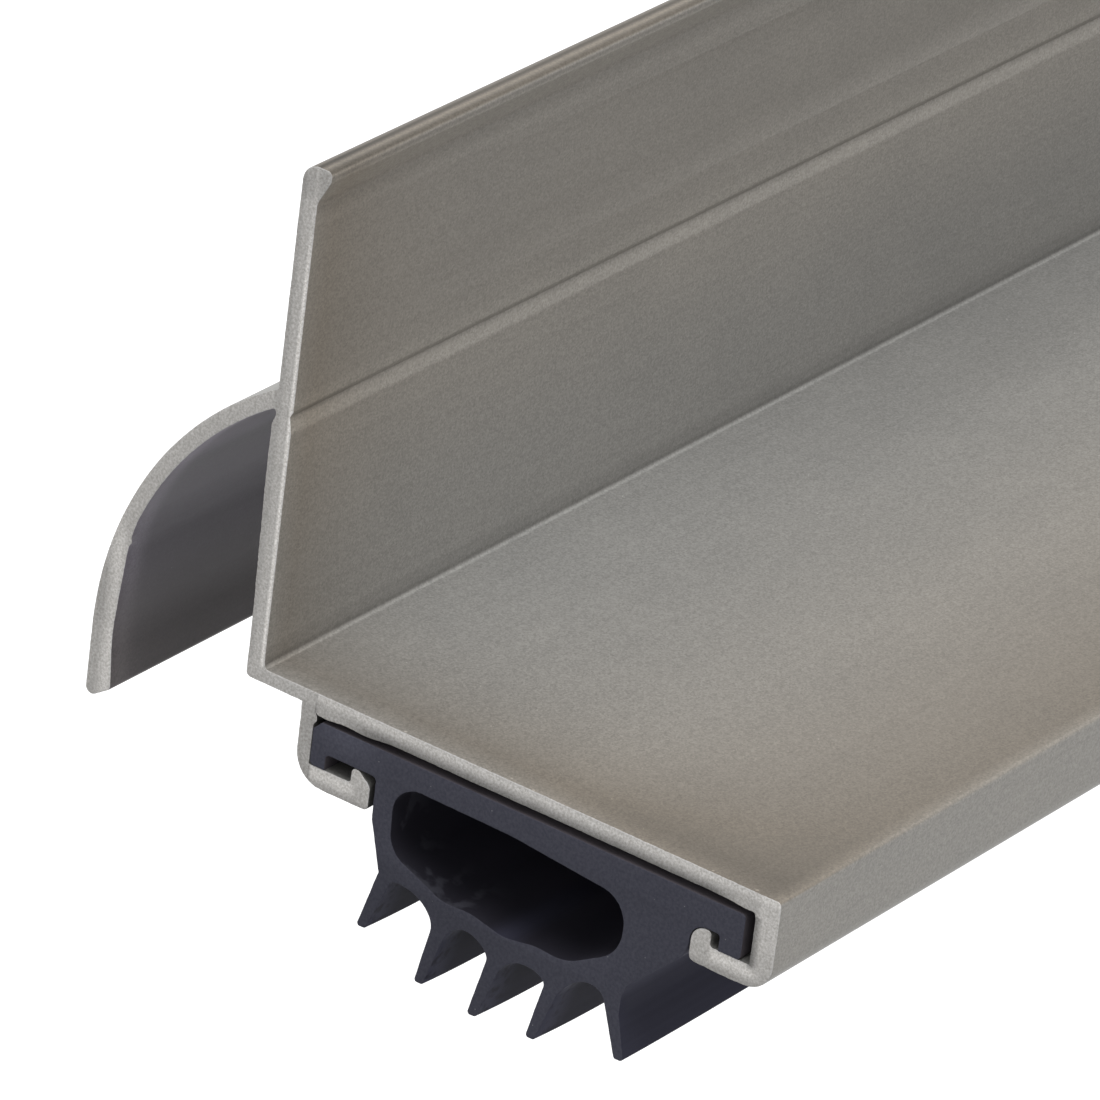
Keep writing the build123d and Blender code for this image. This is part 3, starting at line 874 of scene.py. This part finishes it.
in_hollow = vinyl.y.rise(HOLLOW_EDGE - 0.2, HOLLOW_EDGE) * vinyl.y.fall(HOLLOW_LEG, HOLLOW_LEG + 0.2)
in_hollow = in_hollow * vinyl.z.rise(-12.0, -11.6) * vinyl.z.fall(HOLLOW_TOP, HOLLOW_TOP + 0.2)
outside = 1.0 - in_hollow
in_channel = vinyl.z.rise(LIP - 0.1, LIP + 0.1) * outside
in_arch = vinyl.y.rise(WAIST_EDGE, WAIST_EDGE + 0.6) * vinyl.z.fall(-12.3, -11.9)
# Painted light and shade: the upper vinyl lighter, and painted shade low between the fins.
lit = 0.94 + 0.35 * vinyl.z.rise(-13.5, -9.5) * outside - 0.38 * in_arch
drawn = vinyl.scaled(vinyl.mix(streak, (0.028, 0.028, 0.043), (0.044, 0.044, 0.066)), lit)

# Deeper inside the hollow the vinyl is painted lighter: painted light.
inside = vinyl.mix(behind_cut.rise(1.0, 14.0), (0.020, 0.019, 0.026), (0.055, 0.052, 0.072))
bits = in_hollow * behind_cut.fall(1.5, 6.0) * vinyl.y.rise(1.5, 4.0)
bits = bits * vinyl.noise(2.0, 3.0, seed=21.0).rise(0.50, 0.62)
drawn = vinyl.mix(in_hollow, drawn, vinyl.mix(bits * 0.7, inside, (0.056, 0.056, 0.070)))
# The vinyl in the channel is painted lighter: painted light in the gap under the flange.
drawn = vinyl.mix(in_channel, drawn, (0.080, 0.071, 0.080))
# Paler bluish patches low between the fins, near the cut.
arch_patches = in_arch * behind_cut.fall(0.6, 3.4) * vinyl.noise(0.9, 2.0, seed=17.0).rise(0.28, 0.55)
drawn = vinyl.mix(arch_patches * 0.6, drawn, (0.074, 0.075, 0.112))

dusty = vinyl.band(vinyl.y, 14.6, 4.0) * vinyl.z.rise(-4.6, -2.6)
low = vinyl.y.rise(-4.0, 4.0) * vinyl.z.fall(-11.0, -9.5)
torn = vinyl.mix(fine.rise(0.25, 0.75), (0.054, 0.055, 0.074), (0.078, 0.079, 0.101))
torn = vinyl.scaled(torn, 1.0 + 0.30 * dusty - 0.14 * low)
torn = vinyl.mix(crumb * 0.6, torn, (0.30, 0.30, 0.31))
vinyl.link("Base Color", vinyl.mix(sawn, drawn, torn))
vinyl.link("Roughness", 0.70 + (fine - 0.5) * 0.1)
vinyl.bump(fine * sawn * 0.7 + streak * 0.5, 0.4, 0.02)
insert.data.materials.append(vinyl.data)

# %% [markdown]
# ## Floor, sky and lamps
# The photograph is lit softly from all round on white. A wide pale floor lies well below
# the seal, which hangs in the air as on its door, so its shadow stays faint. The
# background is white where the camera, a mirror image or a see-through thing shows it, and
# gives the object's own colour no light beyond the sky's plain level.

# %% Floor
floor_mesh = bpy.data.meshes.new("floor")
FLOOR_Z, FLOOR_RADIUS = -0.30, 40.0
ring = np.linspace(0, 2 * np.pi, 64, endpoint=False)
rim = np.stack([FLOOR_RADIUS * np.cos(ring), FLOOR_RADIUS * np.sin(ring), np.full(64, FLOOR_Z)], 1)
floor_mesh.from_pydata(rim.tolist(), [], [list(range(64))])
floor = bpy.data.objects.new("floor", floor_mesh)
bpy.context.collection.objects.link(floor)
paper = Finish("pale_floor", Base_Color=(0.42, 0.42, 0.42, 1.0), Roughness=0.9)
rays = paper.add("ShaderNodeLightPath", {})
paper.shader.inputs["Emission Color"].default_value = (1.0, 1.0, 1.0, 1.0)
seen = (rays["Is Camera Ray"] + rays["Is Glossy Ray"] + rays["Is Transmission Ray"]).clip()
paper.tree.links.new((seen * 0.8).socket, paper.shader.inputs["Emission Strength"])
floor.data.materials.append(paper.data)

# %% Sky
world = bpy.data.worlds.new("sky")
bpy.context.scene.world = world
world.use_nodes = True
sky = world.node_tree
background = sky.nodes["Background"]
background.inputs["Color"].default_value = (1.0, 1.0, 1.0, 1.0)
path = sky.nodes.new("ShaderNodeLightPath")
level = sky.nodes.new("ShaderNodeMapRange")
level.inputs["To Min"].default_value = 0.66
level.inputs["To Max"].default_value = 1.0
seen = path.outputs["Is Camera Ray"]
for flag in ("Is Glossy Ray", "Is Transmission Ray"):
    either = sky.nodes.new("ShaderNodeMath")
    either.operation = "MAXIMUM"
    sky.links.new(seen, either.inputs[0])
    sky.links.new(path.outputs[flag], either.inputs[1])
    seen = either.outputs[0]
sky.links.new(seen, level.inputs["Value"])
sky.links.new(level.outputs["Result"], background.inputs["Strength"])


# %% Lamps
def soft_lamp(name, place, aim, size, watts):
    """A square area lamp at place, turned to aim, in metres."""
    light = bpy.data.lights.new(name, "AREA")
    light.shape, light.size, light.energy = "SQUARE", size, watts
    lamp = bpy.data.objects.new(name, light)
    lamp.location = place
    lamp.rotation_mode = "QUATERNION"
    lamp.rotation_quaternion = (Vector(aim) - Vector(place)).to_track_quat("-Z", "Y")
    bpy.context.collection.objects.link(lamp)


soft_lamp("key", (-0.9, -0.5, 2.6), (-0.2, 0, 0), 1.4, 36.0)
soft_lamp("fill", (0.8, 1.8, 1.6), (0, 0, 0), 1.6, 10.0)

# %% [markdown]
# ## Camera
# The photograph was taken with a long lens from the sawn end, a little above. Its place
# was worked out from the seal's own straight edges: parallel lines that converge fix the
# lens, and the known width between leg and edge fixes the distance.

# %% Camera
cam_data = bpy.data.cameras.new("camera")
cam_data.lens = 342.326
cam_data.sensor_width = 36.0
cam_data.shift_x, cam_data.shift_y = 0.000355, 0.000773
cam_data.clip_start, cam_data.clip_end = 0.05, 100.0
camera = bpy.data.objects.new("camera", cam_data)
right = Vector((0.5872449, -0.80136325, 0.11384363))
up = Vector((0.30918156, 0.35207299, 0.88343159))
toward = Vector((-0.74803088, -0.48359234, 0.45451981))
eye = Matrix.Translation((-0.98799, -0.34322, 0.34071))
camera.matrix_world = eye @ Matrix((right, up, toward)).transposed().to_4x4()
bpy.context.collection.objects.link(camera)
bpy.context.scene.camera = camera
bpy.context.scene.view_settings.view_transform = "Standard"
